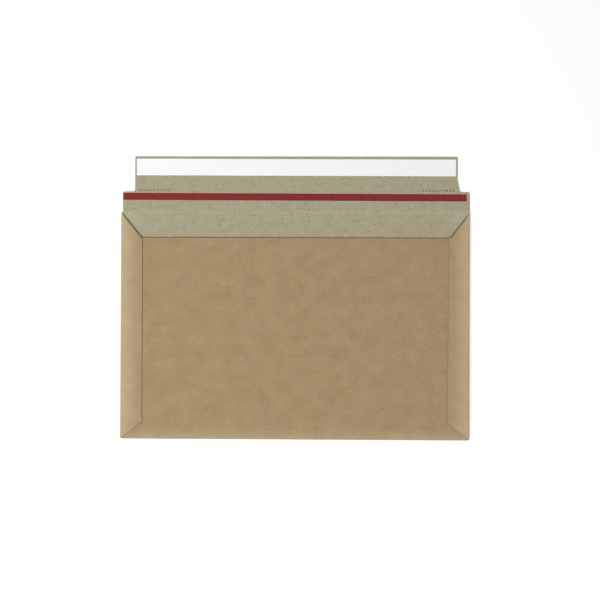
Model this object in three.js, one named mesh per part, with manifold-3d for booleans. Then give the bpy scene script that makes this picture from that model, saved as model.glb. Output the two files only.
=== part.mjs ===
// Flat board mailing envelope, lying on its back panel with the closing flap open.
// Millimetres. +X is right, +Y runs from the bottom fold to the closing flap, +Z comes out of the front.
// The origin is under the middle of the whole outline, on the surface that the envelope lies on.
import * as THREE from "three";
import { mergeVertices } from "three/addons/utils/BufferGeometryUtils.js";
import Module from "manifold-3d";

// The board and the pocket
const board = 0.7; // thickness of the board
const pocketGap = 0.5; // air between the back and front panels where the side flaps hold them
const mouthRise = 0.4; // how far the free edge of the front panel bows up at mid width
const bowStart = 20; // the front panel stays flat this far up from the bottom fold

// The body, over its folds
const bodyWidth = 350;
const bodyHeight = 228; // bottom fold to the crease of the closing flap
const throat = 25.4; // crease to the free edge of the front panel
const panelClearance = 0.4; // front panel to the start of a side fold

// The side flaps, folded over onto the front panel
const sideFlapWidth = 21.8; // side fold to inner edge, at the bottom
const sideFlapLean = { left: 0, right: 1.3 }; // how far the inner edge leans out towards the top
const sideFlapTopStart = { left: 0, right: 0 }; // crease to the slanted top end, at the side fold
const sideFlapTopDrop = { left: 26.6, right: 25.8 }; // how far the slanted top end falls
const sideFlapBottomRise = 16.8; // how far the slanted bottom end rises
const sideFlapCorner = 2; // radius of the two inner corners
const foldRelief = 0.3; // bottom fold to the slanted bottom end, at the side fold

// The glue lines under the side flaps
const glueThick = 0.1;
const glueWidth = 13;
const glueInset = 3.5; // glue line to the inner edge of its side flap
const glueEndInset = 6; // glue line to the inner corners of its side flap
const glueCorner = 4;

// The closing flap
const closingHeight = 56; // crease to the top edge
const closingInset = 0.8; // shoulder edges to the folded edges of the body, were the flap in the middle
const closingShift = 0.8; // the flap was cut this far right of the body's middle
const shoulderHeight = 20.6; // crease to shoulder
const shoulderInset = 12.2; // width of each shoulder
const shoulderCorner = 2; // outer corner radius
const shoulderFillet = 2.5; // inner corner radius
const topCorner = 1;
const rightLean = 2.4; // the right edge of the narrow part leans out by this much at its foot
const rightLeanHeight = 12;

// The crease of the closing flap: a channel in the outside and a bead on the inside
const creaseWidth = 1.8;
const creaseDepth = 0.16;

// The perforations at the two ends of the tear line
const slitWidth = 1.2;
const slitLength = 2;
const slitPitch = 3;
const slitCount = 11; // at each end
const slitInset = 4.2; // first slit to the edge of the narrow part
const slitLift = 1.2; // shoulder line to the middle of the slits

// The strips on the inside of the closing flap, turned a little as they were laid on
const tearTape = { width: 7, endInset: 1.6, lift: 15.2, thick: 0.1, skew: -0.15, shift: -0.7 };
const liner = { width: 16.8, endInset: 1.6, topInset: 2.6, thick: 0.08, skew: -0.1 };
const adhesive = { edgeInset: 1.8, thick: 0.12 }; // its edges lie this far inside the liner's

// How finely the curves are cut
const foldSegments = 10;
const cornerSegments = 4;
const beadSegments = 8;
const bowSteps = 12;

// Levels and places that follow from the sizes above
const frontInner = pocketGap / 2; // radii of the bottom fold
const frontOuter = frontInner + board;
const frontTop = 2 * frontOuter;
const sideInner = (pocketGap + board + glueThick) / 2; // radii of a side fold
const sideOuter = sideInner + board;
const bottomY = -(bodyHeight + closingHeight) / 2;
const creaseY = bottomY + bodyHeight;
const shoulderY = creaseY + shoulderHeight;
const topY = creaseY + closingHeight;
const mouthY = creaseY - throat;
const bowStartY = bottomY + bowStart;
const foldX = bodyWidth / 2 - sideOuter; // where the side folds start to turn
const frontHalf = foldX - panelClearance;
const flapEdgeX = bodyWidth / 2 - sideFlapWidth;
const closingHalf = bodyWidth / 2 - closingInset;
const narrowHalf = closingHalf - shoulderInset;
const lap = 1; // a fold's section starts this far inside the panel that it grows from
const over = 5; // cutting outlines pass the board by this much

const wasm = await Module();
wasm.setup();

// The solid inside a closed geometry.
function solidOf(geometry) {
  geometry.deleteAttribute("normal");
  geometry.deleteAttribute("uv");
  const merged = mergeVertices(geometry, 1e-5);
  const corners = merged.index.array;
  const triVerts = [];
  for (let i = 0; i < corners.length; i += 3) {
    const [a, b, c] = corners.slice(i, i + 3);
    if (a !== b && b !== c && c !== a) {
      triVerts.push(a, b, c);
    }
  }
  return new wasm.Manifold(
    new wasm.Mesh({
      numProp: 3,
      vertProperties: merged.attributes.position.array,
      triVerts: new Uint32Array(triVerts),
    }),
  );
}

// The geometry of a solid, with flat faces.
function geometryOf(solid) {
  const mesh = solid.getMesh();
  const indexed = new THREE.BufferGeometry();
  indexed.setAttribute("position", new THREE.BufferAttribute(mesh.vertProperties, 3));
  indexed.setIndex(new THREE.BufferAttribute(mesh.triVerts, 1));
  const geometry = indexed.toNonIndexed();
  geometry.computeVertexNormals();
  return geometry;
}

// A closed outline through corners [x, y, radius], each rounded by a true arc.
function outlineOf(corners) {
  const shape = new THREE.Shape();
  corners.forEach(([x, y, radius = 0], index) => {
    const draw = index === 0 ? "moveTo" : "lineTo";
    if (radius === 0) {
      shape[draw](x, y);
      return;
    }
    const corner = new THREE.Vector2(x, y);
    const [lastX, lastY] = corners.at(index - 1);
    const [nextX, nextY] = corners[(index + 1) % corners.length];
    const back = new THREE.Vector2(lastX, lastY).sub(corner).normalize();
    const ahead = new THREE.Vector2(nextX, nextY).sub(corner).normalize();
    const halfAngle = Math.acos(back.dot(ahead)) / 2;
    const reach = radius / Math.tan(halfAngle);
    const start = corner.clone().addScaledVector(back, reach);
    const end = corner.clone().addScaledVector(ahead, reach);
    const middle = back.clone().add(ahead).normalize();
    middle.multiplyScalar(radius / Math.sin(halfAngle)).add(corner);
    const startAngle = Math.atan2(start.y - middle.y, start.x - middle.x);
    const endAngle = Math.atan2(end.y - middle.y, end.x - middle.x);
    shape[draw](start.x, start.y);
    shape.absarc(middle.x, middle.y, radius, startAngle, endAngle, back.cross(ahead) > 0);
  });
  return shape;
}

// A prism that stands on a plan outline, from low to high.
function prismOf(outline, low, high) {
  const geometry = new THREE.ExtrudeGeometry(outline, {
    depth: high - low,
    bevelEnabled: false,
    curveSegments: cornerSegments,
  });
  return geometry.translate(0, 0, low);
}

// A section drawn with its own x along inward and its own y up, run along the third axis from origin.
function runSection(section, inward, origin, depth, curveSegments, steps = 1) {
  const geometry = new THREE.ExtrudeGeometry(section, { depth, bevelEnabled: false, curveSegments, steps });
  const up = new THREE.Vector3(0, 0, 1);
  const along = inward.clone().cross(up);
  const frame = new THREE.Matrix4().makeBasis(inward, up, along).setPosition(origin);
  return geometry.applyMatrix4(frame);
}

// A fold and the panel behind it: the board comes in along the floor, turns over and runs back for reach.
// x is measured inwards from the outside of the fold.
function foldSection(inner, reach, steps = 1) {
  const outer = inner + board;
  const stations = Array.from({ length: steps }, (_, i) => outer + ((reach - outer) * (i + 1)) / steps);
  const section = new THREE.Shape();
  section.moveTo(outer + lap, 0);
  section.lineTo(outer, 0);
  section.absarc(outer, outer, outer, -Math.PI / 2, Math.PI / 2, true);
  stations.forEach((x) => section.lineTo(x, 2 * outer));
  stations.reverse().forEach((x) => section.lineTo(x, 2 * outer - board));
  section.lineTo(outer, 2 * outer - board);
  section.absarc(outer, outer, inner, Math.PI / 2, -Math.PI / 2, false);
  section.lineTo(outer + lap, board);
  return section;
}

// How high the crease's bead and channel stand off the flat board, at a distance from the crease's middle.
function creaseRise(distance) {
  return (creaseDepth / 2) * (1 + Math.cos((2 * Math.PI * distance) / creaseWidth));
}

// The back panel and the closing flap, flat but for the crease between them.
function backAndClosing() {
  const bead = Array.from({ length: beadSegments + 1 }, (_, i) => (i / beadSegments - 0.5) * creaseWidth);
  const section = new THREE.Shape();
  section.moveTo(bottomY, 0);
  bead.forEach((d) => section.lineTo(creaseY + d, creaseRise(d)));
  section.lineTo(topY + over, 0);
  section.lineTo(topY + over, board);
  bead.reverse().forEach((d) => section.lineTo(creaseY + d, board + creaseRise(d)));
  section.lineTo(bottomY, board);
  const origin = new THREE.Vector3(-bodyWidth, 0, 0);
  const sheet = runSection(section, new THREE.Vector3(0, 1, 0), origin, 2 * bodyWidth, foldSegments);

  const leftX = closingShift - closingHalf;
  const rightX = closingShift + closingHalf;
  const leftNarrowX = closingShift - narrowHalf;
  const rightNarrowX = closingShift + narrowHalf;
  const plan = outlineOf([
    [-foldX, bottomY + frontOuter],
    [foldX, bottomY + frontOuter],
    [foldX, creaseY],
    [rightX, creaseY],
    [rightX, shoulderY, shoulderCorner],
    [rightNarrowX + rightLean, shoulderY, shoulderFillet],
    [rightNarrowX, shoulderY + rightLeanHeight],
    [rightNarrowX, topY, topCorner],
    [leftNarrowX, topY, topCorner],
    [leftNarrowX, shoulderY, shoulderFillet],
    [leftX, shoulderY, shoulderCorner],
    [leftX, creaseY],
    [-foldX, creaseY],
  ]);
  let flat = solidOf(sheet).intersect(solidOf(prismOf(plan, -over, over)));
  for (const side of [-1, 1]) {
    for (let i = 0; i < slitCount; i++) {
      const x = closingShift + side * (narrowHalf - slitInset - i * slitPitch);
      const slit = new THREE.BoxGeometry(slitWidth, slitLength, over);
      flat = flat.subtract(solidOf(slit.translate(x, shoulderY + slitLift, 0)));
    }
  }
  return flat;
}

// The front panel, turned up from the bottom fold. Its free edge bows up between the side flaps.
function frontPanel() {
  const { clamp } = THREE.MathUtils;
  const section = foldSection(frontInner, mouthY - bottomY, bowSteps);
  const origin = new THREE.Vector3(-frontHalf, bottomY, 0);
  const width = 2 * frontHalf;
  const geometry = runSection(section, new THREE.Vector3(0, 1, 0), origin, width, foldSegments, bowSteps);
  const position = geometry.attributes.position;
  for (let i = 0; i < position.count; i++) {
    const station = Math.round(((position.getX(i) + frontHalf) / width) * bowSteps);
    const across = (2 * (station - 1)) / (bowSteps - 2) - 1; // -1 to 1 between the side flaps
    if (station > 0 && station < bowSteps) {
      position.setX(i, across * flapEdgeX);
    }
    const up = (position.getY(i) - bowStartY) / (mouthY - bowStartY);
    const rise = clamp(up, 0, 1) ** 2 * Math.cos((Math.PI / 2) * clamp(across, -1, 1)) ** 2;
    position.setZ(i, position.getZ(i) + mouthRise * rise);
  }
  return solidOf(geometry);
}

// Where the slanted top end of a side flap starts and ends: height at the fold, height and place at the inner edge.
function flapTop(side) {
  const hand = side > 0 ? "right" : "left";
  const outerY = creaseY - sideFlapTopStart[hand];
  return [outerY, outerY - sideFlapTopDrop[hand], flapEdgeX + sideFlapLean[hand]];
}

// A side flap, turned over onto the front panel, with slanted ends. side is -1 left and 1 right.
function sideFlap(side) {
  const section = foldSection(sideInner, sideFlapWidth);
  const start = side > 0 ? bottomY : creaseY;
  const origin = new THREE.Vector3((side * bodyWidth) / 2, start, 0);
  const inward = new THREE.Vector3(-side, 0, 0);
  const fold = runSection(section, inward, origin, bodyHeight, foldSegments);
  const edge = bodyWidth / 2;
  const [outerHighY, innerHighY, innerHighX] = flapTop(side);
  const plan = outlineOf([
    [side * (edge + over), bottomY + foldRelief],
    [side * edge, bottomY + foldRelief],
    [side * flapEdgeX, bottomY + foldRelief + sideFlapBottomRise, sideFlapCorner],
    [side * innerHighX, innerHighY, sideFlapCorner],
    [side * edge, outerHighY],
    [side * (edge + over), outerHighY],
  ]);
  return solidOf(fold).intersect(solidOf(prismOf(plan, -over, over)));
}

// The glue line between a side flap and the front panel.
function glueLine(side) {
  const inX = flapEdgeX + glueInset;
  const outX = inX + glueWidth;
  const lowY = bottomY + foldRelief + sideFlapBottomRise + glueEndInset;
  const highY = Math.min(mouthY, flapTop(side)[1]) - glueEndInset;
  const plan = outlineOf([
    [side * inX, lowY, glueCorner],
    [side * outX, lowY, glueCorner],
    [side * outX, highY, glueCorner],
    [side * inX, highY, glueCorner],
  ]);
  return prismOf(plan, frontTop, frontTop + glueThick);
}

const kraftBoard = new THREE.MeshStandardMaterial({ color: 0xa68d6a, roughness: 0.9, metalness: 0 });
const redTape = new THREE.MeshStandardMaterial({ color: 0x8a2a2b, roughness: 0.4, metalness: 0 });
const whiteLiner = new THREE.MeshStandardMaterial({ color: 0xf6f6f4, roughness: 0.45, metalness: 0 });
const clearAdhesive = new THREE.MeshStandardMaterial({ color: 0xd8d2bf, roughness: 0.3, metalness: 0 });
const paleGlue = new THREE.MeshStandardMaterial({ color: 0xe2d8bd, roughness: 0.5, metalness: 0 });

const group = new THREE.Group();

const blank = backAndClosing().add(frontPanel()).add(sideFlap(-1)).add(sideFlap(1));
const blankMesh = new THREE.Mesh(geometryOf(blank), kraftBoard);
blankMesh.name = "envelope_blank";
group.add(blankMesh);

for (const [name, side] of [["left_flap_glue", -1], ["right_flap_glue", 1]]) {
  const glueMesh = new THREE.Mesh(glueLine(side), paleGlue);
  glueMesh.name = name;
  group.add(glueMesh);
}

// The strips lie on the inside of the closing flap, each turned by its skew about its own middle.
const linerLength = 2 * (narrowHalf - liner.endInset);
const linerY = topY - liner.topInset - liner.width / 2;
const strips = [
  {
    name: "tear_tape",
    material: redTape,
    size: [2 * (closingHalf - tearTape.endInset), tearTape.width, tearTape.thick],
    place: [tearTape.shift, creaseY + tearTape.lift, board],
    skew: tearTape.skew,
  },
  {
    name: "closure_adhesive",
    material: clearAdhesive,
    size: [linerLength - 2 * adhesive.edgeInset, liner.width - 2 * adhesive.edgeInset, adhesive.thick],
    place: [closingShift, linerY, board],
    skew: liner.skew,
  },
  {
    name: "release_liner",
    material: whiteLiner,
    size: [linerLength, liner.width, liner.thick],
    place: [closingShift, linerY, board + adhesive.thick],
    skew: liner.skew,
  },
];
for (const { name, material, size, place, skew } of strips) {
  const strip = new THREE.Mesh(new THREE.BoxGeometry(...size), material);
  strip.name = name;
  strip.position.set(place[0], place[1], place[2] + size[2] / 2);
  strip.rotation.z = THREE.MathUtils.degToRad(skew);
  group.add(strip);
}

export default group;
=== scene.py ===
import math

import bmesh
import bpy
from mathutils import Matrix, Vector, noise


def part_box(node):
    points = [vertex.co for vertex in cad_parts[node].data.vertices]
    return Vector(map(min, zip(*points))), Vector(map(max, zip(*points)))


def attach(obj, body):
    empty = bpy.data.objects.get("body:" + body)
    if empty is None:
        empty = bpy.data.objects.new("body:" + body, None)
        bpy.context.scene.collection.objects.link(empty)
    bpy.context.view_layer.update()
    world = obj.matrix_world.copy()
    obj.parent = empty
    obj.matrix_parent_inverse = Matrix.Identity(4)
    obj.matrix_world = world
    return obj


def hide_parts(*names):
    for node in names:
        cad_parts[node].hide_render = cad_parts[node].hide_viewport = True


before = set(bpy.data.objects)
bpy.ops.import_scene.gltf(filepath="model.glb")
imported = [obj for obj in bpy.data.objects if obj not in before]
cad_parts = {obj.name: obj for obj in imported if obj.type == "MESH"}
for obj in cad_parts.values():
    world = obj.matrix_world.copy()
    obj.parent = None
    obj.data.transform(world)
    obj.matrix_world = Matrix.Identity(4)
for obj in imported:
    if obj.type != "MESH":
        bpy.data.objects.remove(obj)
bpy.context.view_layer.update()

scene = bpy.context.scene
scene.view_settings.view_transform = "Standard"
mm = 0.001

# camera, looking down on the envelope
cameraView = {
    "distance": 1500.0,  # mm, lens to the board
    "pixelsPerMm": 0.99607,
    "imageWidth": 600,
    "roll": -0.236,  # degrees, how the envelope lies in the picture
    "tiltX": -0.671,
    "tiltY": -1.374,
    "aimX": 5.41,  # mm right of and above the middle of the pocket
    "aimY": 25.83,
}


def turnOf(view):
    roll = Matrix.Rotation(math.radians(view["roll"]), 4, "Z")
    tiltX = Matrix.Rotation(math.radians(view["tiltX"]), 4, "X")
    tiltY = Matrix.Rotation(math.radians(view["tiltY"]), 4, "Y")
    return roll @ tiltX @ tiltY


def makeCamera(view, middle):
    data = bpy.data.cameras.new("camera")
    data.sensor_width = 36
    data.lens = view["pixelsPerMm"] * view["distance"] * data.sensor_width / view["imageWidth"]
    camera = bpy.data.objects.new("camera", data)
    scene.collection.objects.link(camera)
    back = Matrix.Translation(Vector((view["aimX"], view["aimY"], view["distance"])) * mm)
    camera.matrix_world = Matrix.Translation(middle) @ turnOf(view).transposed() @ back
    scene.camera = camera


# the blank: sizes in mm, as it was cut and folded
blank = {
    "board": 0.7,
    "pocketGap": 0.5,
    "glue": 0.1,
    "pocketHeight": 228.0,  # bottom fold to the crease
    "throat": 25.4,  # crease to the free edge of the front panel
    "panelClearance": 0.4,
    "mouthRise": 0.4,
    "bowStart": 20.0,
    "sideFlap": 21.8,  # fold to inner edge at the bottom
    "flapLean": {-1: 0.0, 1: 1.3},  # how far that edge leans out towards the top, left and right
    "topDrop": {-1: 26.6, 1: 25.8},  # how far the slanted top ends run down from the crease
    "bottomRise": 16.8,
    "flapCorner": 2.0,
    "foldRelief": 0.3,
    "closingInset": 0.8,
    "closingShift": 0.8,
    "shoulder": 20.6,
    "shoulderInset": 12.2,
    "shoulderCorner": 2.0,
    "shoulderFillet": 2.5,
    "topCorner": 1.0,
    "rightLean": 2.4,
    "leanHeight": 12.0,
    "creaseWidth": 1.8,
    "creaseDepth": 0.16,
    "insideRound": (0.09, 0.09),  # how far in and down a cut edge is rounded
    "outsideRound": (0.5, 0.45),  # the die enters on this side and drags the kraft over
    "edgeRough": 0.04,
    "mouthCrush": 1.3,
    "flatCrush": 0.25,  # where the board was cut between flat plates
    "crushRamp": 2.5,  # the slanted ends reach their full crush this far from the fold
    "slantCrush": {-1: 1.7, 1: 3.0},  # of the side flaps' slanted top ends
    "lowCrush": 0.15,
    "innerCrush": {-1: 0.45, 1: 0.12},
    "flapWearAndHighlight": 0.15,  # the side flaps are paler all over: partly worn, partly a painted highlight where they tilt to the light
    "waviness": 0.14,  # of the free front panel
    "waves": ((70.0, 55.0, 1.0), (28.0, 24.0, 0.5)),  # across, up, share
    "calmStart": 4.0,  # the waves begin this far above the bottom fold and are full
    "calmReach": 40.0,  # after this much more
    "sidePaleReach": 14.0,  # how far the folds are paler: partly worn, partly a painted highlight where the board curves
    "bottomPaleReach": 7.0,
    "bottomPale": 0.6,  # how pale the bottom fold and the crease are, of 1; at the bottom fold partly a painted highlight
    "creasePale": 0.45,
    "creasePaleReach": 1.2,
    "flapPaleFrom": 1.6,  # along the board from where a side fold begins
    "bottomPaleFrom": 1.0,
    "step": 4.0,  # between mesh lines
    "foldSteps": 14,  # mesh lines round a fold
    "foldLines": (0.3, 1.2),  # extra mesh lines this far past a fold
    "creaseLines": (1.7, 2.6),  # and to both sides of the crease
}
low, high = (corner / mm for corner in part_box("envelope_blank"))
bottomY = low.y
topY = high.y
halfWidth = high.x
creaseY = bottomY + blank["pocketHeight"]
shoulderY = creaseY + blank["shoulder"]
mouthY = creaseY - blank["throat"]
frontInner = blank["pocketGap"] / 2
frontOuter = frontInner + blank["board"]
sideInner = (blank["pocketGap"] + blank["board"] + blank["glue"]) / 2
sideOuter = sideInner + blank["board"]
foldX = halfWidth - sideOuter
frontHalf = foldX - blank["panelClearance"]
flapEdgeX = halfWidth - blank["sideFlap"]
closingHalf = halfWidth - blank["closingInset"]
narrowHalf = closingHalf - blank["shoulderInset"]

makeCamera(cameraView, Vector((0, bottomY + blank["pocketHeight"] / 2, 0)) * mm)
print("camera made")


def clamped(value):
    return min(1.0, max(0.0, value))


# mesh lines from start to end, about step apart, through every point in through
def linesBetween(start, end, step, through=()):
    marks = sorted({start, end, *[m for m in through if start < m < end]})
    lines = []
    for a, b in zip(marks, marks[1:]):
        count = max(1, round((b - a) / step))
        lines += [a + (b - a) * i / count for i in range(count)]
    return lines + [end]


def roundedStart(radius, count=5):
    return [radius * (1 - math.cos(math.pi / 2 * i / count)) for i in range(count + 1)]


# how far a rounded corner of this radius draws back at a distance from its tip
def cornerPull(distance, radius):
    if distance >= radius:
        return 0.0
    return radius - math.sqrt(max(0.0, radius**2 - (radius - distance) ** 2))


# the middle surface of a thin sheet: points with their flat place, normal, how pale (worn, and
# painted highlight) and how much the die crushed the edge there, and the quads between them
def newSheet():
    sheet = {key: [] for key in ("flat", "place", "normal", "wearAndHighlight", "crush", "quads")}
    sheet["known"] = {}
    return sheet


def sheetPoint(sheet, flat, place, normal, wearAndHighlight=0.0, crush=1.0):
    key = tuple(round(c * 2000) for c in place)
    if key not in sheet["known"]:
        sheet["known"][key] = len(sheet["place"])
        sheet["flat"].append(flat)
        sheet["place"].append(Vector(place))
        sheet["normal"].append(Vector(normal))
        sheet["wearAndHighlight"].append(wearAndHighlight)
        sheet["crush"].append(crush)
    return sheet["known"][key]


# columns run to the right and rows upwards as the inside of the sheet is seen
def addBlock(sheet, columns, rows, pointAt):
    grid = [[sheetPoint(sheet, *pointAt(c, r)) for c in columns] for r in rows]
    for lower, upper in zip(grid, grid[1:]):
        for i in range(len(columns) - 1):
            sheet["quads"].append((lower[i], lower[i + 1], upper[i + 1], upper[i]))


# directed border edges of the sheet, with the sheet on their left
def borderEdges(sheet):
    edges = set()
    for quad in sheet["quads"]:
        edges.update(zip(quad, quad[1:] + quad[:1]))
    return [(a, b) for a, b in edges if (b, a) not in edges]


def outwardAt(sheet):
    before, after = {}, {}
    for a, b in borderEdges(sheet):
        after[a] = b
        before[b] = a
    outward = {}
    for v, ahead in after.items():
        run = (sheet["place"][ahead] - sheet["place"][v]).normalized()
        run += (sheet["place"][v] - sheet["place"][before[v]]).normalized()
        outward[v] = run.cross(sheet["normal"][v]).normalized()
    return outward, after


# gives the sheet its thickness, with rounded and slightly rough cut edges;
# material slots are outside, inside and cut edge
def thicken(sheet, name, thickness, insideRound, outsideRound, edgeRough):
    half = thickness / 2
    outward, after = outwardAt(sheet)
    bm = bmesh.new()
    wearAndHighlightLayer = bm.verts.layers.float.new("wearAndHighlight")
    plyLayer = bm.verts.layers.float.new("ply")
    crushLayer = bm.verts.layers.float.new("crush")
    uvLayer = bm.loops.layers.uv.new("flat")
    flatOf = {}

    def addVertex(v, level, out=None, reach=0.0):
        place = sheet["place"][v] + sheet["normal"][v] * level
        vertex = bm.verts.new((place + out * reach if out else place) * mm)
        vertex[wearAndHighlightLayer] = sheet["wearAndHighlight"][v]
        vertex[plyLayer] = (level + half) / thickness
        vertex[crushLayer] = sheet["crush"][v]
        flatOf[vertex] = sheet["flat"][v]
        return vertex

    def addFace(corners, slot):
        face = bm.faces.new(corners)
        face.material_index = slot
        face.smooth = True
        for loop in face.loops:
            loop[uvLayer].uv = flatOf[loop.vert]

    # steps across a cut edge: distance in from the edge and level
    def edgeSteps(crush):
        inset, drop = insideRound
        turns = [math.radians(t) for t in (0, 45, 90)]
        steps = [((1 - math.sin(t)) * inset, half - (1 - math.cos(t)) * drop) for t in turns]
        inset, drop = (r * crush for r in outsideRound)
        drop = min(drop, 0.75 * thickness)
        steps.append((0, (drop - insideRound[1]) / 2))
        turns = [math.radians(t) for t in (90, 60, 30, 0)]
        return steps + [((1 - math.sin(t)) * inset, (1 - math.cos(t)) * drop - half) for t in turns]

    rings = {}
    inside, outside = [], []
    for v, place in enumerate(sheet["place"]):
        if v not in outward:
            inside.append(addVertex(v, half))
            outside.append(addVertex(v, -half))
            continue
        ring = []
        for inset, level in edgeSteps(sheet["crush"][v]):
            rough = 0.0
            if abs(level) < half:
                upThere = sheet["normal"][v] * (level * 9 / half)
                rough = edgeRough * noise.noise(place * 1.7 + upThere)
            ring.append(addVertex(v, level, outward[v], rough - inset))
        rings[v] = ring
        inside.append(ring[0])
        outside.append(ring[-1])
    for quad in sheet["quads"]:
        addFace([outside[v] for v in reversed(quad)], 0)
        addFace([inside[v] for v in quad], 1)
    for a, b in after.items():
        for k in range(len(rings[a]) - 1):
            addFace((rings[a][k + 1], rings[b][k + 1], rings[b][k], rings[a][k]), 2)
        for k in (0, -1):
            bm.edges.get((rings[a][k], rings[b][k])).smooth = False
    mesh = bpy.data.meshes.new(name)
    bm.to_mesh(mesh)
    bm.free()
    made = bpy.data.objects.new(name, mesh)
    scene.collection.objects.link(made)
    return made


# s runs along the sheet from where a fold begins: gives the distance in from the outside of the
# fold, the height, and the normal's part outwards and up
def foldOver(s, inner, board):
    middle = inner + board / 2
    outer = inner + board
    turned = s / middle
    if s <= 0:
        return outer - s, board / 2, 0.0, 1.0
    if turned < math.pi:
        sine, cosine = math.sin(turned), math.cos(turned)
        return outer - middle * sine, outer - middle * cosine, sine, cosine
    return outer + s - math.pi * middle, outer + middle, 0.0, -1.0


def foldStations(inner, reach, step, near=()):
    arc = math.pi * (inner + blank["board"] / 2)
    turn = [arc * i / blank["foldSteps"] for i in range(blank["foldSteps"] + 1)]
    flat = linesBetween(arc, arc + reach, step, [arc + n for n in (*blank["foldLines"], *near)])
    return turn + flat[1:]


# lighter near a fold: partly worn by pressing and rubbing, partly a painted highlight where the
# board curves to the light
def foldWearAndHighlight(distance, spread):
    return math.exp(-((max(0.0, distance) / spread) ** 2.2))


# the back panel is paler towards the side and bottom folds, partly worn and partly a painted
# highlight, and paler along the crease
def backWearAndHighlight(x, y):
    side = foldWearAndHighlight(foldX - abs(x), blank["sidePaleReach"])
    bottom = blank["bottomPale"] * foldWearAndHighlight(y - bottomY - frontOuter, blank["bottomPaleReach"])
    crease = blank["creasePale"] * foldWearAndHighlight(abs(y - creaseY), blank["creasePaleReach"])
    return max(side if y < creaseY else 0.0, bottom, crease)


def creaseRise(y):
    d = abs(y - creaseY)
    if d > blank["creaseWidth"] / 2:
        return 0.0
    return blank["creaseDepth"] / 2 * (1 + math.cos(2 * math.pi * d / blank["creaseWidth"]))


def closingEdge(side, y):
    tip = blank["closingShift"] + side * closingHalf
    return tip - side * cornerPull(shoulderY - y, blank["shoulderCorner"])


def narrowEdge(side, y):
    above = y - shoulderY
    lean = blank["rightLean"] * max(0.0, 1 - above / blank["leanHeight"]) if side > 0 else 0.0
    spread = lean + cornerPull(above, blank["shoulderFillet"])
    spread -= cornerPull(topY - y, blank["topCorner"])
    return blank["closingShift"] + side * (narrowHalf + spread)


notchX = {side: narrowEdge(side, shoulderY) for side in (-1, 1)}


def backPoint(x, y):
    placeX = x
    if y > creaseY:
        for side in (-1, 1):
            past = side * (x - notchX[side])
            if past > 0:
                share = past / (foldX - side * notchX[side])
                placeX = notchX[side] + share * (closingEdge(side, y) - notchX[side])
    z = blank["board"] / 2 + creaseRise(y)
    return (placeX, y), (placeX, y, z), (0, 0, 1), backWearAndHighlight(x, y), blank["flatCrush"]


def narrowPoint(x, y):
    share = (x - notchX[-1]) / (notchX[1] - notchX[-1])
    placeX = narrowEdge(-1, y) + share * (narrowEdge(1, y) - narrowEdge(-1, y))
    return (placeX, y), (placeX, y, blank["board"] / 2), (0, 0, 1), 0.0, blank["flatCrush"]


def frontRise(x, y):
    up = clamped((y - bottomY - blank["bowStart"]) / (mouthY - bottomY - blank["bowStart"]))
    free = math.cos(math.pi / 2 * clamped(abs(x) / flapEdgeX)) ** 2
    wave = 0.0
    for (across, along, share), seed in zip(blank["waves"], (3.1, 8.7)):
        wave += share * noise.noise(Vector((x / across, y / along, seed)))
    calm = clamped((y - bottomY - blank["calmStart"]) / blank["calmReach"]) * clamped(2.5 * free)
    return blank["mouthRise"] * up**2 * free + blank["waviness"] * wave * calm


def frontPoint(x, s):
    along = -s  # rows rise towards the bottom fold
    inwards, z, lean, up = foldOver(along, frontInner, blank["board"])
    y = bottomY + inwards
    turned = along > math.pi * (frontInner + blank["board"] / 2)
    rise = frontRise(x, y) if turned else 0.0
    # paler round the bottom fold: partly worn, partly a painted highlight on its curve
    fromFold = abs(along - blank["bottomPaleFrom"])
    wearAndHighlight = blank["bottomPale"] * foldWearAndHighlight(fromFold, blank["bottomPaleReach"])
    crush = blank["mouthCrush"] if y > mouthY - 0.01 else 1.0
    return (x, bottomY + frontOuter + s), (x, y, z + rise), (0, lean, up), wearAndHighlight, crush


# the slanted, round-cornered ends of a side flap, by distance out from its inner edge
def slantAt(distance, slope):
    radius = blank["flapCorner"]
    steep = math.sqrt(1 + slope**2)
    if distance < radius - radius * slope / steep:
        return radius * (steep - slope) - math.sqrt(max(0.0, radius**2 - (distance - radius) ** 2))
    return -slope * distance


def flapStart(out):
    slope = blank["bottomRise"] / blank["sideFlap"]
    return bottomY + blank["foldRelief"] + blank["bottomRise"] + slantAt(out, slope)


def flapEnd(side, out):
    slope = blank["topDrop"][side] / (blank["sideFlap"] - blank["flapLean"][side])
    return creaseY - blank["topDrop"][side] - slantAt(out, slope)


sideLow = flapStart(foldX - flapEdgeX)
sideHigh = {s: flapEnd(s, foldX - flapEdgeX - blank["flapLean"][s]) for s in (-1, 1)}


# the rows follow the back panel's at the fold and spread out evenly past it
def sidePoint(side, reach, rows):
    arc = math.pi * (sideInner + blank["board"] / 2)
    evenShare = {y: i / (len(rows) - 1) for i, y in enumerate(rows)}

    def pointAt(s, y):
        inwards, z, lean, up = foldOver(abs(s), sideInner, blank["board"])
        drawn = blank["flapLean"][side] * max(0.0, abs(s) - arc) / (reach - arc)
        past = min(1.0, abs(s) / arc)
        share = (y - sideLow) / (sideHigh[side] - sideLow)
        share += past * (evenShare[y] - share)
        out = halfWidth - inwards - flapEdgeX
        start, end = flapStart(out), flapEnd(side, out + drawn - blank["flapLean"][side])
        x = side * (halfWidth - inwards + drawn * share)
        placeY = start + share * (end - start)
        # paler near the fold and a little all over the flap: partly worn, partly a painted
        # highlight where the flap tilts to the light
        paleShare = foldWearAndHighlight(abs(s) - blank["flapPaleFrom"], blank["sidePaleReach"])
        wearAndHighlight = max(blank["flapWearAndHighlight"], paleShare)
        crush = blank["innerCrush"][side]
        if y == rows[-1] and abs(s) < reach - 0.3:
            ramp = clamped((abs(s) - arc) / blank["crushRamp"])
            crush = blank["flatCrush"] + ramp * (blank["slantCrush"][side] - blank["flatCrush"])
        elif y == rows[0]:
            crush = blank["lowCrush"]
        return (side * foldX + s, placeY), (x, placeY, z), (-side * lean, 0, up), wearAndHighlight, crush

    return pointAt


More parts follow.
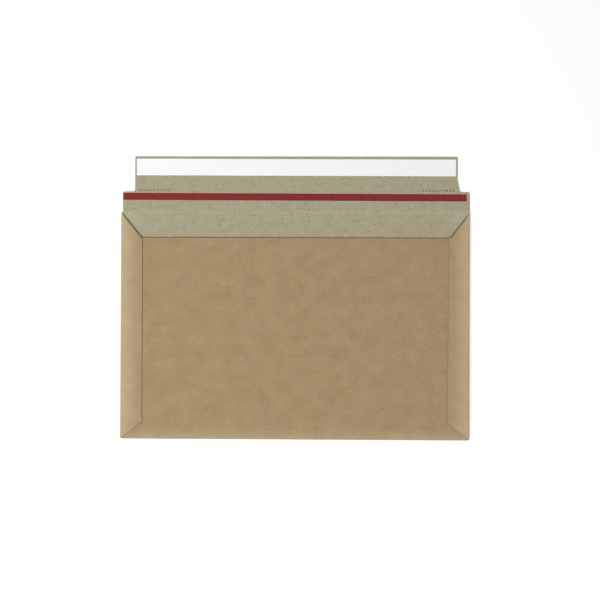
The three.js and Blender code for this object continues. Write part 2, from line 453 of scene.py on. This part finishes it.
def makeBlankSheet():
    sheet = newSheet()
    step = blank["step"]
    half = blank["creaseWidth"] / 2
    bead = [creaseY - half + half * i / 5 for i in range(11)]
    nearShoulder = [shoulderY - d for d in roundedStart(blank["shoulderCorner"], 4)]
    nearFold = [bottomY + frontOuter + n for n in blank["foldLines"]]
    nearCrease = [creaseY + s * n for s in (-1, 1) for n in blank["creaseLines"]]
    through = [sideLow, *sideHigh.values(), creaseY, *bead, *nearCrease, *nearShoulder, *nearFold]
    rows = linesBetween(bottomY + frontOuter, shoulderY, step, through)
    sides = [frontHalf, flapEdgeX, *[foldX - n for n in blank["foldLines"]]]
    sides += [-x for x in sides]
    columns = linesBetween(-foldX, foldX, step, [*notchX.values(), *sides])
    addBlock(sheet, columns, rows, backPoint)

    narrowColumns = [c for c in columns if notchX[-1] <= c <= notchX[1]]
    filleted = [shoulderY + d for d in roundedStart(blank["shoulderFillet"])]
    topRounded = [topY - d for d in roundedStart(blank["topCorner"], 3)]
    through = [*filleted, shoulderY + blank["leanHeight"], *topRounded]
    addBlock(sheet, narrowColumns, linesBetween(shoulderY, topY, step, through), narrowPoint)

    reach = mouthY - bottomY - frontOuter
    frontRows = [-s for s in reversed(foldStations(frontInner, reach, step))]
    frontColumns = [c for c in columns if abs(c) <= frontHalf]
    addBlock(sheet, frontColumns, frontRows, frontPoint)

    flat = blank["sideFlap"] - sideOuter
    cornered = [flat - d for d in roundedStart(blank["flapCorner"], 3)]
    stations = foldStations(sideInner, flat, step, cornered)
    for side, across in ((1, stations), (-1, [-s for s in reversed(stations)])):
        sideRows = [r for r in rows if sideLow <= r <= sideHigh[side]]
        addBlock(sheet, across, sideRows, sidePoint(side, stations[-1], sideRows))
    return sheet


boardEnvelope = thicken(
    makeBlankSheet(), "board_envelope",
    blank["board"], blank["insideRound"], blank["outsideRound"], blank["edgeRough"],
)
print("blank made:", len(boardEnvelope.data.polygons), "faces")

# perforations at both ends of the tear line, in mm: Geometry Nodes make a row of knives, and a
# boolean cuts their slits through the board
perforation = {
    "count": 11,
    "pitch": 3.0,
    "slitWidth": 1.1,
    "slitLength": 2.0,
    "closed": 0.1,  # share of a slit left open on the kraft side, where the fibres spring back
    "inset": 4.2,  # first slit to the edge of the narrow part
    "lift": 1.2,  # above the shoulders
    "wander": 0.1,
    "knifePast": 0.1,  # how far a knife stands past both faces of the board
    "seed": 7,
}


def slitTree():
    tree = bpy.data.node_groups.new("perforationRow", "GeometryNodeTree")
    socket = tree.interface.new_socket
    socket("Geometry", in_out="OUTPUT", socket_type="NodeSocketGeometry")
    for label, kind in (
        ("Count", "NodeSocketInt"),
        ("Start", "NodeSocketVector"),
        ("Pitch", "NodeSocketVector"),
        ("Slit Size", "NodeSocketVector"),
        ("Closed", "NodeSocketFloat"),
        ("Wander", "NodeSocketVector"),
        ("Seed", "NodeSocketInt"),
        ("Material", "NodeSocketMaterial"),
    ):
        socket(label, in_out="INPUT", socket_type=kind)
    nodes, link = tree.nodes, tree.links.new
    given = nodes.new("NodeGroupInput")
    row = nodes.new("GeometryNodeMeshLine")
    row.mode = "OFFSET"
    link(given.outputs["Count"], row.inputs["Count"])
    link(given.outputs["Start"], row.inputs["Start Location"])
    link(given.outputs["Pitch"], row.inputs["Offset"])
    scatter = nodes.new("FunctionNodeRandomValue")
    scatter.data_type = "FLOAT_VECTOR"
    scatter.inputs["Min"].default_value = (-1, -1, 0)
    link(given.outputs["Seed"], scatter.inputs["Seed"])
    stray = nodes.new("ShaderNodeVectorMath")
    stray.operation = "MULTIPLY"
    link(scatter.outputs["Value"], stray.inputs[0])
    link(given.outputs["Wander"], stray.inputs[1])
    moved = nodes.new("GeometryNodeSetPosition")
    link(row.outputs["Mesh"], moved.inputs["Geometry"])
    link(stray.outputs["Vector"], moved.inputs["Offset"])
    halfDiagonal = math.sqrt(0.5)
    narrow = nodes.new("ShaderNodeMath")
    narrow.operation = "MULTIPLY"
    narrow.inputs[1].default_value = halfDiagonal
    link(given.outputs["Closed"], narrow.inputs[0])
    wedge = nodes.new("GeometryNodeMeshCone")
    wedge.inputs["Vertices"].default_value = 4
    wedge.inputs["Radius Top"].default_value = halfDiagonal
    wedge.inputs["Depth"].default_value = 1
    link(narrow.outputs["Value"], wedge.inputs["Radius Bottom"])
    knife = nodes.new("GeometryNodeTransform")
    knife.inputs["Rotation"].default_value = (0, 0, math.pi / 4)
    link(wedge.outputs["Mesh"], knife.inputs["Geometry"])
    copies = nodes.new("GeometryNodeInstanceOnPoints")
    link(moved.outputs["Geometry"], copies.inputs["Points"])
    link(knife.outputs["Geometry"], copies.inputs["Instance"])
    link(given.outputs["Slit Size"], copies.inputs["Scale"])
    real = nodes.new("GeometryNodeRealizeInstances")
    link(copies.outputs["Instances"], real.inputs["Geometry"])
    painted = nodes.new("GeometryNodeSetMaterial")
    link(real.outputs["Geometry"], painted.inputs["Geometry"])
    link(given.outputs["Material"], painted.inputs["Material"])
    out = nodes.new("NodeGroupOutput")
    link(painted.outputs["Geometry"], out.inputs["Geometry"])
    return tree


# runs a tree with these inputs and returns what it makes as a plain object
def grown(tree, name, values):
    holder = bpy.data.objects.new(name, bpy.data.meshes.new(name))
    scene.collection.objects.link(holder)
    modifier = holder.modifiers.new("grow", "NODES")
    modifier.node_group = tree
    for item in tree.interface.items_tree:
        if item.in_out == "INPUT" and item.name in values:
            modifier[item.identifier] = values[item.name]
    bpy.context.view_layer.update()
    evaluated = holder.evaluated_get(bpy.context.evaluated_depsgraph_get())
    mesh = bpy.data.meshes.new_from_object(evaluated)
    holder.modifiers.remove(modifier)
    holder.data = mesh
    return holder


def cutPerforations(piece, edgeLook):
    tree = slitTree()
    past = perforation["knifePast"]
    knife = (perforation["slitWidth"], perforation["slitLength"], blank["board"] + 2 * past)
    for side in (-1, 1):
        start = blank["closingShift"] + side * (narrowHalf - perforation["inset"])
        knives = grown(tree, "knives", {
            "Count": perforation["count"],
            "Start": Vector((start, shoulderY + perforation["lift"], -past)) * mm,
            "Pitch": Vector((-side * perforation["pitch"], 0, 0)) * mm,
            "Slit Size": Vector(knife) * mm,
            "Closed": perforation["closed"],
            "Wander": Vector((1, 1, 0)) * perforation["wander"] * mm,
            "Seed": perforation["seed"] + side,
            "Material": edgeLook,
        })
        cut = piece.modifiers.new("cut", "BOOLEAN")
        cut.operation = "DIFFERENCE"
        cut.solver = "EXACT"
        cut.material_mode = "TRANSFER"
        cut.object = knives
        evaluated = piece.evaluated_get(bpy.context.evaluated_depsgraph_get())
        mesh = bpy.data.meshes.new_from_object(evaluated)
        piece.modifiers.remove(cut)
        piece.data = mesh
        bpy.data.objects.remove(knives)


# material helpers
def addNode(tree, kind, inputs=(), **settings):
    node = tree.nodes.new(kind)
    for name, value in settings.items():
        setattr(node, name, value)
    for name, value in dict(inputs).items():
        if isinstance(value, bpy.types.NodeSocket):
            tree.links.new(value, node.inputs[name])
        else:
            node.inputs[name].default_value = value
    return node


def newMaterial(name):
    material = bpy.data.materials.new(name)
    material.use_nodes = True
    return material, material.node_tree, material.node_tree.nodes["Principled BSDF"]


def colour(r, g, b):
    return (r, g, b, 1.0)


def mixed(tree, factor, a, b, blend="MIX"):
    node = addNode(tree, "ShaderNodeMix", data_type="RGBA", blend_type=blend)
    for index, value in ((0, factor), (6, a), (7, b)):
        if isinstance(value, bpy.types.NodeSocket):
            tree.links.new(value, node.inputs[index])
        else:
            node.inputs[index].default_value = value
    return node.outputs[2]


def ranged(tree, value, fromLow, fromHigh, toLow=0.0, toHigh=1.0):
    inputs = {"Value": value, "From Min": fromLow, "From Max": fromHigh}
    inputs.update({"To Min": toLow, "To Max": toHigh})
    return addNode(tree, "ShaderNodeMapRange", inputs).outputs["Result"]


def flatPlace(tree, stretch=(1, 1, 1), shift=(0, 0, 0)):
    place = addNode(tree, "ShaderNodeUVMap", uv_map="flat").outputs["UV"]
    inputs = {"Vector": place, "Scale": stretch, "Location": shift}
    return addNode(tree, "ShaderNodeMapping", inputs).outputs["Vector"]


def objectPlace(tree, stretch=(1000, 1000, 1000)):
    place = addNode(tree, "ShaderNodeTexCoord").outputs["Object"]
    return addNode(tree, "ShaderNodeMapping", {"Vector": place, "Scale": stretch}).outputs["Vector"]


def noiseOf(tree, place, scale, detail=3.0, roughness=0.55):
    inputs = {"Vector": place, "Scale": scale, "Detail": detail, "Roughness": roughness}
    return addNode(tree, "ShaderNodeTexNoise", inputs).outputs["Fac"]


def mathOf(tree, operation, *values):
    return addNode(tree, "ShaderNodeMath", enumerate(values), operation=operation).outputs["Value"]


def summed(tree, a, b):
    return mathOf(tree, "ADD", a, b)


def timesOf(tree, a, b):
    return mathOf(tree, "MULTIPLY", a, b)


def attributeOf(tree, name):
    return addNode(tree, "ShaderNodeAttribute", attribute_name=name).outputs["Fac"]


def between(tree, factor, first, second):
    return mixed(tree, factor, colour(*first), colour(*second))


# dots, large and small, in a share of the cells of a scattered grid; more where crowd is high
def specksOf(tree, place, cells, size, share, crowd):
    cell = addNode(tree, "ShaderNodeTexVoronoi", {"Vector": place, "Scale": cells})
    drawn = addNode(tree, "ShaderNodeSeparateColor", {"Color": cell.outputs["Color"]})
    wanted = ranged(tree, crowd, 0.35, 0.65, 0.25 * share, 1.75 * share)
    chosen = ranged(tree, mathOf(tree, "SUBTRACT", wanted, drawn.outputs["Red"]), 0.0, 0.02)
    reach = ranged(tree, drawn.outputs["Green"], 0.0, 1.0, size * 0.55, size * 1.35)
    dot = ranged(tree, cell.outputs["Distance"], reach, timesOf(tree, reach, 0.45))
    strength = ranged(tree, drawn.outputs["Blue"], 0.0, 1.0, 0.45, 1.0)
    return timesOf(tree, timesOf(tree, chosen, dot), strength)


def bumped(tree, shader, height, distance, strength=1.0):
    inputs = {"Height": height, "Distance": distance, "Strength": strength}
    bump = addNode(tree, "ShaderNodeBump", inputs)
    tree.links.new(bump.outputs["Normal"], shader.inputs["Normal"])


kraft = {
    "base": (0.428, 0.301, 0.16),
    "dark": (0.332, 0.228, 0.115),
    "contrast": (1.31, 1.69),  # the closer together, the harder dark and base part
    "pale": (0.535, 0.41, 0.252),  # folds and side flaps: partly worn, partly a painted highlight where the board curves and tilts to the light
    "cool": (0.385, 0.292, 0.162),  # patches of another pulp
    "coolShare": 0.3,
    "pin": (0.2, 0.125, 0.065),
    "pinSpecks": (0.38, 0.18, 0.2),  # cells to a mm, size, share of the cells
    "glint": (0.49, 0.365, 0.212),
    "glintSpecks": (0.5, 0.28, 0.14),
    "grain": 0.5,  # these four are sizes of the pattern, in features to a mm
    "fibre": 0.6,
    "cloud": 0.07,
    "patch": 0.045,
    "grainHeight": 0.00004,  # m
    "roughness": (0.72, 0.9),
    "shine": 0.3,
}


def kraftMaterial():
    material, tree, shader = newMaterial("kraft outside")
    grain = noiseOf(tree, flatPlace(tree, (0.85, 1.2, 1)), kraft["grain"], 3.0, 0.85)
    fibre = noiseOf(tree, flatPlace(tree, (0.35, 1.1, 1), (7, 3, 0)), kraft["fibre"], 2.0, 0.5)
    cloud = noiseOf(tree, flatPlace(tree, (0.85, 1, 1), (31, 7, 0)), kraft["cloud"], 3.0)
    fibres = ranged(tree, fibre, 0.0, 1.0, 0.36, 0.64)
    clouds = ranged(tree, cloud, 0.0, 1.0, 0.2, 0.8)
    shade = summed(tree, grain, summed(tree, fibres, clouds))
    toned = between(tree, ranged(tree, shade, *kraft["contrast"]), kraft["dark"], kraft["base"])
    patch = noiseOf(tree, flatPlace(tree, (1, 1, 1), (13, 29, 0)), kraft["patch"], 2.0)
    patches = ranged(tree, patch, 0.4, 0.7, 0.0, kraft["coolShare"])
    toned = mixed(tree, patches, toned, colour(*kraft["cool"]))
    # paler folds and side flaps: partly worn, partly a painted highlight
    wearAndHighlight = attributeOf(tree, "wearAndHighlight")
    paleShare = timesOf(tree, wearAndHighlight, ranged(tree, cloud, 0.3, 0.75, 0.7, 1.0))
    made = mixed(tree, paleShare, toned, colour(*kraft["pale"]))
    glints = specksOf(tree, flatPlace(tree, (0.9, 1, 1), (19, 2, 0)), *kraft["glintSpecks"], patch)
    made = mixed(tree, glints, made, colour(*kraft["glint"]))
    pins = specksOf(tree, flatPlace(tree, (1, 1, 1), (5, 3, 0)), *kraft["pinSpecks"], patch)
    made = mixed(tree, pins, made, colour(*kraft["pin"]))
    tree.links.new(made, shader.inputs["Base Color"])
    tree.links.new(ranged(tree, grain, 0.3, 0.7, *kraft["roughness"]), shader.inputs["Roughness"])
    shader.inputs["Specular IOR Level"].default_value = kraft["shine"]
    fine = noiseOf(tree, flatPlace(tree, (0.6, 1.4, 1)), 4.5, 3.0, 0.6)
    bumped(tree, shader, summed(tree, grain, fine), kraft["grainHeight"], 0.5)
    return material


greyBoard = {
    "base": (0.46, 0.417, 0.285),
    "dark": (0.335, 0.3, 0.197),
    "contrast": (0.76, 1.24),
    "pale": (0.54, 0.5, 0.37),  # paler along the crease and towards the folds
    "grain": 0.6,
    "cloud": 0.12,
    "patch": 0.06,
    "grainHeight": 0.00006,
    "roughness": 0.9,
    "shine": 0.25,
    "flecks": (
        # colour, cells to a mm, size, share of the cells, stretch, shift
        ((0.28, 0.21, 0.12), 0.3, 0.24, 0.22, (0.8, 1.25, 1), (9, 2, 0)),
        ((0.18, 0.153, 0.105), 0.5, 0.27, 0.2, (0.8, 1.25, 1), (1, 8, 0)),
        ((0.57, 0.53, 0.395), 0.55, 0.32, 0.26, (0.6, 1.2, 1), (4, 4, 0)),
        ((0.12, 0.1, 0.07), 0.09, 0.09, 0.35, (0.9, 1.1, 1), (2, 6, 0)),
    ),
}


def greyMaterial():
    material, tree, shader = newMaterial("grey inside")
    grainPlace = flatPlace(tree, (0.75, 1.45, 1), (11, 5, 0))
    grain = noiseOf(tree, grainPlace, greyBoard["grain"], 3.0, 0.85)
    cloudPlace = flatPlace(tree, (0.8, 1.4, 1), (3, 17, 0))
    cloud = noiseOf(tree, cloudPlace, greyBoard["cloud"], 3.0, 0.6)
    shade = summed(tree, grain, ranged(tree, cloud, 0.0, 1.0, 0.25, 0.75))
    share = ranged(tree, shade, *greyBoard["contrast"])
    made = between(tree, share, greyBoard["dark"], greyBoard["base"])
    patch = noiseOf(tree, flatPlace(tree, (1, 1, 1), (23, 11, 0)), greyBoard["patch"], 2.0)
    for fleck, cells, size, share, stretch, shift in greyBoard["flecks"]:
        specks = specksOf(tree, flatPlace(tree, stretch, shift), cells, size, share, patch)
        made = mixed(tree, specks, made, colour(*fleck))
    wearAndHighlight = attributeOf(tree, "wearAndHighlight")
    paleShare = timesOf(tree, wearAndHighlight, ranged(tree, grain, 0.35, 0.65, 0.2, 0.8))
    made = mixed(tree, paleShare, made, colour(*greyBoard["pale"]))
    tree.links.new(made, shader.inputs["Base Color"])
    shader.inputs["Roughness"].default_value = greyBoard["roughness"]
    shader.inputs["Specular IOR Level"].default_value = greyBoard["shine"]
    bumped(tree, shader, grain, greyBoard["grainHeight"], 0.5)
    return material


cutEdge = {
    # the kraft side of a cut edge, dark and light, and the dragged colour are darker than the kraft
    # face: partly the crushed kraft, partly painted shade for the dark lines along the edges
    "kraft": ((0.11, 0.078, 0.042), (0.2, 0.145, 0.082)),  # dark and light
    "core": ((0.22, 0.185, 0.125), (0.38, 0.335, 0.24)),
    "dragged": (0.21, 0.152, 0.087),  # where the kraft is drawn far over the edge
    "dragStart": 1.8,  # crush at which that begins and is full
    "dragFull": 2.8,
    "rough": 0.00008,  # m, depth of the torn fibres
    "kraftShare": 0.6,  # how much of the edge the kraft covers
    "ragged": 0.06,  # how soft its border is
    "roughness": 0.95,
    "shine": 0.2,
}


def edgeMaterial():
    material, tree, shader = newMaterial("cut edge")
    plies = noiseOf(tree, objectPlace(tree, (500, 500, 9000)), 1.0, 4.0, 0.7)
    fibres = noiseOf(tree, objectPlace(tree, (4000, 4000, 4000)), 1.0, 2.0)
    shade = summed(tree, plies, fibres)
    mottle = ranged(tree, shade, 0.75, 1.25)
    # kraft side of the edge, darkened partly as painted shade
    kraftSideShaded = between(tree, mottle, *cutEdge["kraft"])
    core = between(tree, mottle, *cutEdge["core"])
    crush = attributeOf(tree, "crush")
    drag = ranged(tree, crush, cutEdge["dragStart"], cutEdge["dragFull"])
    kraftSideShaded = mixed(tree, timesOf(tree, drag, 0.8), kraftSideShaded, colour(*cutEdge["dragged"]))
    ply = attributeOf(tree, "ply")
    level = summed(tree, ply, ranged(tree, fibres, 0.0, 1.0, -0.15, 0.15))
    border, soft = cutEdge["kraftShare"], cutEdge["ragged"]
    share = ranged(tree, level, border - soft, border + soft)
    tree.links.new(mixed(tree, share, kraftSideShaded, core), shader.inputs["Base Color"])
    shader.inputs["Roughness"].default_value = cutEdge["roughness"]
    shader.inputs["Specular IOR Level"].default_value = cutEdge["shine"]
    rough = ranged(tree, drag, 0.0, 1.0, cutEdge["rough"], 0.25 * cutEdge["rough"])
    bumped(tree, shader, shade, rough, 0.8)
    return material


boardMaterials = [kraftMaterial(), greyMaterial(), edgeMaterial()]
for material in boardMaterials:
    boardEnvelope.data.materials.append(material)
cutPerforations(boardEnvelope, boardMaterials[2])
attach(boardEnvelope, "root")
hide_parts("envelope_blank")
print("perforations cut:", len(boardEnvelope.data.polygons), "faces")

# the two strips on the inside of the closing flap, in mm
tape = {
    "length": 345.2,
    "width": 7.0,
    "thick": 0.1,
    "middleX": -0.7,
    "lift": 15.2,  # crease to the tape's middle
    "skew": -0.15,  # degrees
    "gap": 0.0,  # between the board and the strip
    "ripple": 0.035,
    "endLift": 0.12,
    "seed": 1.3,
    "dark": (0.2, 0.009, 0.011),
    "bright": (0.285, 0.016, 0.019),
    # the tape is darker towards its long edges
    "edgeDark": (0.14, 0.006, 0.008),
    "edgeDarkFrom": (1.3, 0.3),  # in from an edge: where it begins to darken and is darkest
    "edgeDarkShare": 0.8,
    "roughness": (0.3, 0.46),
    "shine": 0.2,
}
liner = {
    "length": 320.8,
    "width": 16.8,
    "thick": 0.08,
    "middleX": 0.8,
    "topInset": 2.6,  # to the top edge of the flap
    "skew": -0.1,
    "gap": 0.12,  # the adhesive under it
    "ripple": 0.05,
    "endLift": 0.22,
    "seed": 5.9,
    "white": (0.975, 0.975, 0.97),
    "dull": (0.95, 0.95, 0.94),
    "roughness": (0.36, 0.48),
}
stripMesh = {
    "columnStep": 2.5,
    "rowStep": 0.9,
    "endLine": 0.6,  # an extra line this far from the ends and sides
    "sideLine": 0.3,
    "liftReach": 3.0,  # how fast the lifted ends settle
    "rippleSize": (9.0, 6.0),  # along and across
    "roundShare": 0.3,  # of the strip's thickness
    "edgeRough": 0.02,
}


# a thin strip that follows the board, a little wavy, with ends that stand off it
def makeStrip(name, strip, middleY):
    sheet = newSheet()
    halfLength, halfWide = strip["length"] / 2, strip["width"] / 2
    turned = math.radians(strip["skew"])
    level = blank["board"] + strip["gap"] + strip["thick"] / 2
    end, side = halfLength - stripMesh["endLine"], halfWide - stripMesh["sideLine"]
    columns = linesBetween(-halfLength, halfLength, stripMesh["columnStep"], (-end, end))
    rows = linesBetween(-halfWide, halfWide, stripMesh["rowStep"], (-side, side))
    rippleX, rippleY = stripMesh["rippleSize"]

    def pointAt(u, v):
        place = Vector((u / rippleX, v / rippleY, strip["seed"]))
        wave = strip["ripple"] * (0.5 + 0.5 * noise.noise(place))
        settled = math.exp(-(halfLength - abs(u)) / stripMesh["liftReach"])
        wave += strip["endLift"] * settled * (0.7 + 0.5 * noise.noise(place * 2))
        x = strip["middleX"] + u * math.cos(turned) - v * math.sin(turned)
        y = middleY + u * math.sin(turned) + v * math.cos(turned)
        return (u, v), (x, y, level + wave), (0, 0, 1)

    addBlock(sheet, columns, rows, pointAt)
    edgeRound = (strip["thick"] * stripMesh["roundShare"],) * 2
    return thicken(sheet, name, strip["thick"], edgeRound, edgeRound, stripMesh["edgeRough"])


def tapeMaterial():
    material, tree, shader = newMaterial("red tear tape")
    along = noiseOf(tree, flatPlace(tree, (0.06, 2.2, 1)), 1.0, 3.0, 0.6)
    blotch = noiseOf(tree, flatPlace(tree, (0.5, 0.6, 1), (2, 9, 0)), 0.5, 3.0)
    shade = ranged(tree, summed(tree, along, blotch), 0.7, 1.3)
    made = between(tree, shade, tape["dark"], tape["bright"])
    across = addNode(tree, "ShaderNodeSeparateXYZ", {"Vector": flatPlace(tree)}).outputs["Y"]
    fromMiddle = mathOf(tree, "ABSOLUTE", across)
    start, full = (tape["width"] / 2 - inset for inset in tape["edgeDarkFrom"])
    edgeDark = ranged(tree, fromMiddle, start, full, 0.0, tape["edgeDarkShare"])
    made = mixed(tree, edgeDark, made, colour(*tape["edgeDark"]))
    tree.links.new(made, shader.inputs["Base Color"])
    shader.inputs["Specular IOR Level"].default_value = tape["shine"]
    tree.links.new(ranged(tree, blotch, 0.3, 0.7, *tape["roughness"]), shader.inputs["Roughness"])
    bumped(tree, shader, along, 0.00005, 0.5)
    return material


def linerMaterial():
    material, tree, shader = newMaterial("white release liner")
    cloud = noiseOf(tree, flatPlace(tree, (0.3, 1, 1)), 0.25, 2.0)
    made = between(tree, ranged(tree, cloud, 0.3, 0.7), liner["dull"], liner["white"])
    tree.links.new(made, shader.inputs["Base Color"])
    tree.links.new(ranged(tree, cloud, 0.3, 0.7, *liner["roughness"]), shader.inputs["Roughness"])
    fine = noiseOf(tree, flatPlace(tree), 2.0, 3.0)
    bumped(tree, shader, fine, 0.00003, 0.4)
    return material


tearTape = makeStrip("tear_strip", tape, creaseY + tape["lift"])
tearTape.data.materials.append(tapeMaterial())
releaseLiner = makeStrip("liner_strip", liner, topY - liner["topInset"] - liner["width"] / 2)
releaseLiner.data.materials.append(linerMaterial())
for piece, node, slot in (
    (tearTape, "tear_tape", "red_tape"),
    (releaseLiner, "release_liner", "white_liner"),
):
    for face in piece.data.polygons:
        face.material_index = 0
    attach(piece, "root")
    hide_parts(node)
print("tape and liner made")


# glue and adhesive keep their simple shape
glues = {
    "closure adhesive": {
        "pale": (0.72, 0.68, 0.56),
        "deep": (0.6, 0.55, 0.43),
        "roughness": (0.25, 0.4),
        "pieces": ("closure_adhesive",),
    },
    "flap glue": {
        "pale": (0.76, 0.69, 0.52),
        "deep": (0.64, 0.56, 0.4),
        "roughness": (0.45, 0.6),
        "pieces": ("left_flap_glue", "right_flap_glue"),
    },
}


def glueMaterial(name, glue):
    material, tree, shader = newMaterial(name)
    cloud = noiseOf(tree, objectPlace(tree), 0.35, 3.0)
    made = between(tree, ranged(tree, cloud, 0.3, 0.7), glue["deep"], glue["pale"])
    tree.links.new(made, shader.inputs["Base Color"])
    tree.links.new(ranged(tree, cloud, 0.3, 0.7, *glue["roughness"]), shader.inputs["Roughness"])
    bumped(tree, shader, cloud, 0.00008, 0.6)
    return material


for name, glue in glues.items():
    look = glueMaterial(name, glue)
    for piece in glue["pieces"]:
        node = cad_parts[piece]
        node.data.materials.clear()
        node.data.materials.append(look)
print("glue made")

# table top, light and surroundings
studio = {
    "floorHalf": 4.0,
    "floorDrop": 0.00005,  # m, so that the floor and the back panel don't share a plane
    "floorColour": (0.92, 0.92, 0.92),
    "paperWhite": 0.2,  # added to the floor where it is looked at
    "world": 0.42,
    "lamps": (
        # place in m, size in m, watts
        ((-0.9, -0.2, 1.2), 1.0, 11.0),
        ((0.1, -0.6, 2.4), 1.8, 15.0),
    ),
}


def makeStudio():
    half, level = studio["floorHalf"], -studio["floorDrop"]
    corners = [(x * half, y * half, level) for x, y in ((-1, -1), (1, -1), (1, 1), (-1, 1))]
    mesh = bpy.data.meshes.new("floor")
    mesh.from_pydata(corners, [], [(0, 1, 2, 3)])
    floor = bpy.data.objects.new("floor", mesh)
    scene.collection.objects.link(floor)
    material, tree, shader = newMaterial("floor")
    shader.inputs["Base Color"].default_value = colour(*studio["floorColour"])
    shader.inputs["Roughness"].default_value = 0.9
    shader.inputs["Specular IOR Level"].default_value = 0.1
    seen = addNode(tree, "ShaderNodeLightPath").outputs
    looking = summed(tree, seen["Is Camera Ray"], seen["Is Glossy Ray"])
    looking = summed(tree, looking, seen["Is Transmission Ray"])
    paper = timesOf(tree, looking, studio["paperWhite"])
    shader.inputs["Emission Color"].default_value = colour(1, 1, 1)
    tree.links.new(paper, shader.inputs["Emission Strength"])
    mesh.materials.append(material)
    world = bpy.data.worlds.new("studio")
    world.use_nodes = True
    world.node_tree.nodes["Background"].inputs["Color"].default_value = colour(1, 1, 1)
    world.node_tree.nodes["Background"].inputs["Strength"].default_value = studio["world"]
    scene.world = world
    for place, size, watts in studio["lamps"]:
        data = bpy.data.lights.new("soft box", "AREA")
        data.size = size
        data.energy = watts
        lamp = bpy.data.objects.new("soft box", data)
        scene.collection.objects.link(lamp)
        lamp.location = place
        lamp.rotation_euler = (-Vector(place)).to_track_quat("-Z", "Y").to_euler()


makeStudio()
print("studio made")
